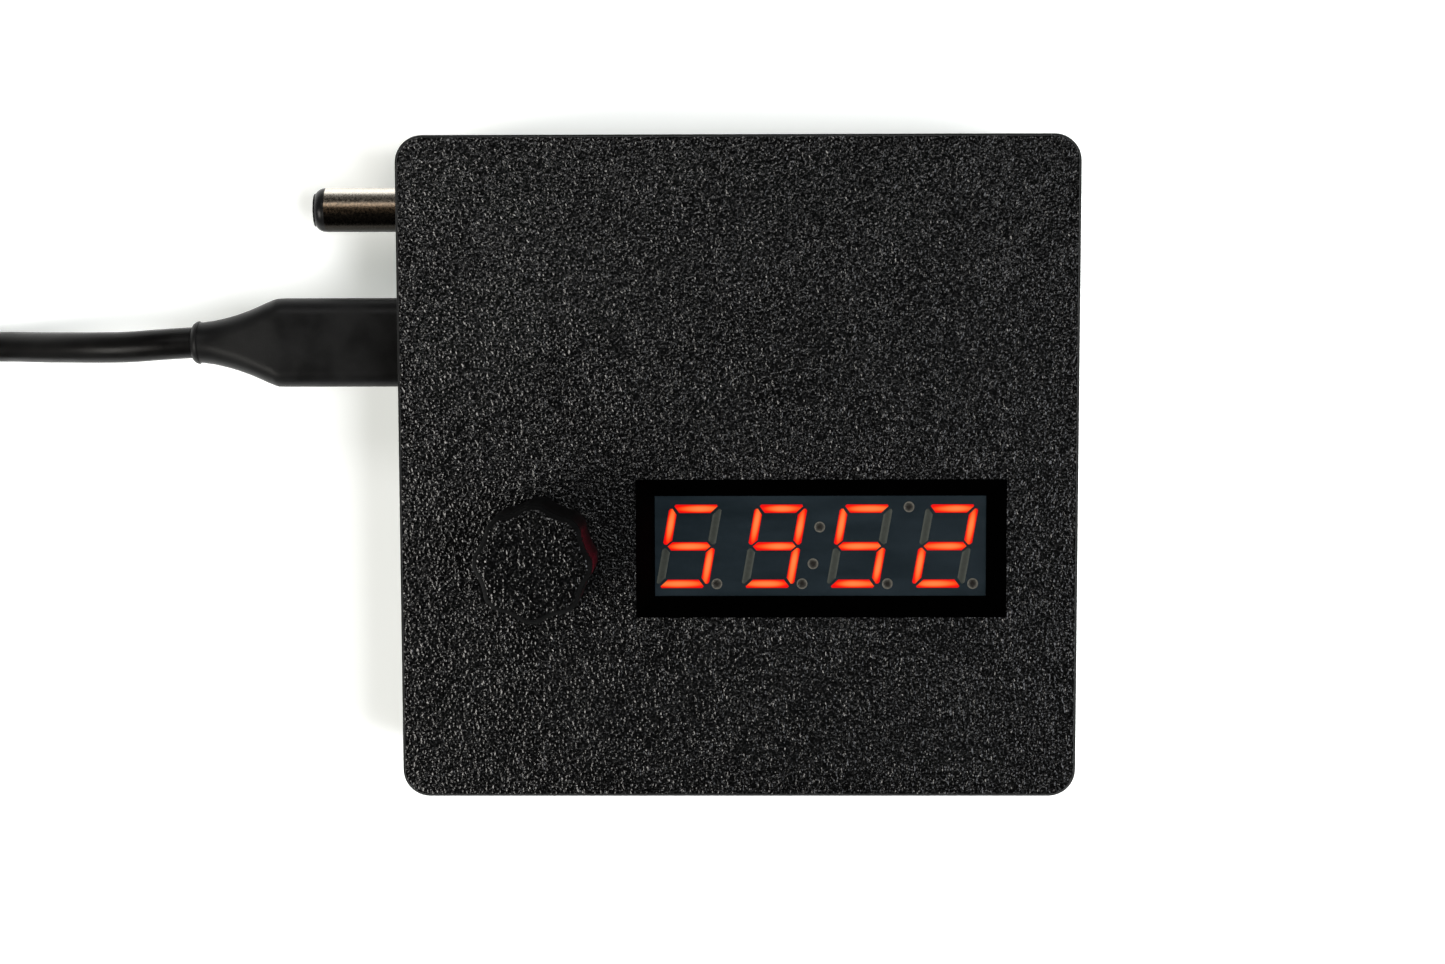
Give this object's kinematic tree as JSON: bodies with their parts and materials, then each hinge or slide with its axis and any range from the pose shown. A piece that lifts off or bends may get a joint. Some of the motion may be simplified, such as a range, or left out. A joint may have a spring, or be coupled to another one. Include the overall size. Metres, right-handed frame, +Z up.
{
  "type": "desk control box",
  "caption": "Low square desk box with a recessed seven-segment readout, a turn-and-push knob, a fixed barrel plug and a plugged-in USB-C lead.",
  "frame": {"origin": "on the surface that the feet stand on, under the middle of the box and its barrel plug taken together", "axes": "+X to the box's right, away from the plugs, +Y to its back, away from the readout and knob, +Z up out of the top panel"},
  "size_m": [0.2025, 0.0938, 0.0389],
  "materials": {
    "printed_case": "printed on a textured plate, fine pebbles on the top face and layer lines on the sides",
    "printed_cover": "printed, smooth with fine layer lines",
    "screw_steel": "zinc plated",
    "insert_brass": "plain",
    "foot_rubber": "matt",
    "circuit_board": "solder mask",
    "chip_epoxy": "moulded epoxy",
    "ferrite": "fired, dull",
    "tinned_metal": "tinned",
    "capacitor_ceramic": "fired, dull",
    "display_case": "moulded, satin",
    "display_film": "grey film, satin",
    "segment_lit": "diffusing resin, lit from behind",
    "segment_dark": "diffusing resin, unlit",
    "encoder_plastic": "moulded",
    "rotor_plastic": "moulded acetal",
    "spring_metal": "rolled strip",
    "bright_nickel": "bright nickel plate",
    "plug_black": "moulded, semi-gloss",
    "grip_elastomer": "soft moulding, satin",
    "cable_jacket": "extruded jacket, satin",
    "tie_fabric": "hook-and-loop strap",
    "wire_red": "wire sleeve",
    "wire_black": "wire sleeve"
  },
  "bodies": {
    "case": {"top_case": "printed_case", "bottom_cover": "printed_cover", "dc_plug_clamp": "printed_cover", "cover_screws": "screw_steel", "board_screws": "screw_steel", "cover_inserts": "insert_brass", "rubber_feet": "foot_rubber", "main_board": "circuit_board", "controller_chip": "chip_epoxy", "display_driver": "chip_epoxy", "voltage_regulator": "chip_epoxy", "output_transistor": "chip_epoxy", "chip_resistors": "chip_epoxy", "power_inductor": "ferrite", "crystal_can": "tinned_metal", "filter_capacitors": "tinned_metal", "display_pins": "tinned_metal", "encoder_pins": "tinned_metal", "encoder_frame": "tinned_metal", "encoder_bushing": "tinned_metal", "chip_capacitors": "capacitor_ceramic", "display_body": "display_case", "display_face": "display_film", "lit_segments": "segment_lit", "unlit_segments": "segment_dark", "display_dots": "segment_dark", "encoder_base": "encoder_plastic", "detent_spring": "spring_metal", "snap_dome": "spring_metal", "dc_plug_contact": "spring_metal", "dc_plug_lug": "spring_metal", "dc_plug_sleeve": "bright_nickel", "usb_socket_shell": "bright_nickel", "dc_plug_insulator": "plug_black", "dc_plug_collar": "plug_black", "usb_socket_tongue": "plug_black", "red_wire": "wire_red", "black_wire": "wire_black"},
    "rotor": {"encoder_rotor": "rotor_plastic"},
    "knob": {"knob": "printed_case", "encoder_shaft": "tinned_metal"},
    "usb_lead": {"usb_plug_shell": "bright_nickel", "usb_plug_liner": "plug_black", "usb_plug_grip": "grip_elastomer", "usb_cable": "cable_jacket", "cable_coil": "cable_jacket", "cable_tie": "tie_fabric", "cable_tail": "cable_jacket", "far_plug_grip": "grip_elastomer", "far_plug_shell": "bright_nickel", "far_plug_liner": "plug_black"}
  },
  "joints": [
    {"name": "knob_turn", "type": "hinge", "parent": "case", "child": "rotor", "pos_m": [-0.01705, -0.0099, 0.0285], "axis": [0, 0, 1], "continuous": true},
    {"name": "knob_push", "type": "slide", "parent": "rotor", "child": "knob", "axis": [0, 0, -1], "range_m": [0, 0.0005], "stiffness_N_per_m": 4000, "springref_m": -0.001, "deforming": ["snap_dome"]},
    {"name": "lead_unplug", "type": "slide", "parent": "case", "child": "usb_lead", "axis": [-1, 0, 0], "range_m": [0, 0.012]}
  ]
}
